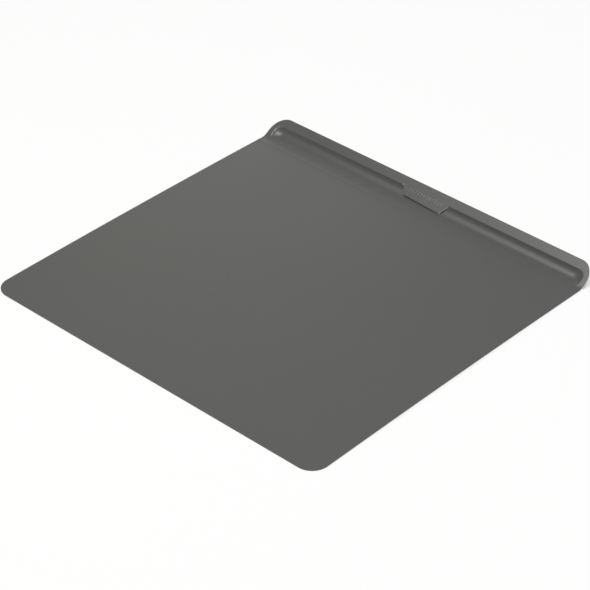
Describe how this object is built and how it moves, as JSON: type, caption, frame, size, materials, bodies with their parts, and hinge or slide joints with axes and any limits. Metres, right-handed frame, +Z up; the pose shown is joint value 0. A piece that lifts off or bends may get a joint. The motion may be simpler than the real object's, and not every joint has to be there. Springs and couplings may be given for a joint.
{
  "type": "cookie sheet",
  "caption": "Flat, nearly square cookie sheet of thin non-stick steel with rounded corners, a raised lip with a finger groove along one edge, and a small tag plate across the groove.",
  "frame": {"origin": "middle of the flat underside's bounding box, on the surface that the sheet stands on", "axes": "+X along the lip, +Y from the front edge to the lip, +Z up"},
  "size_m": [0.356, 0.345, 0.0138],
  "materials": {
    "coated_steel": "satin dark grey non-stick coating with a fine grain"
  },
  "bodies": {
    "root": {"baking_sheet": "coated_steel", "tag_plate": "coated_steel"}
  },
  "joints": []
}
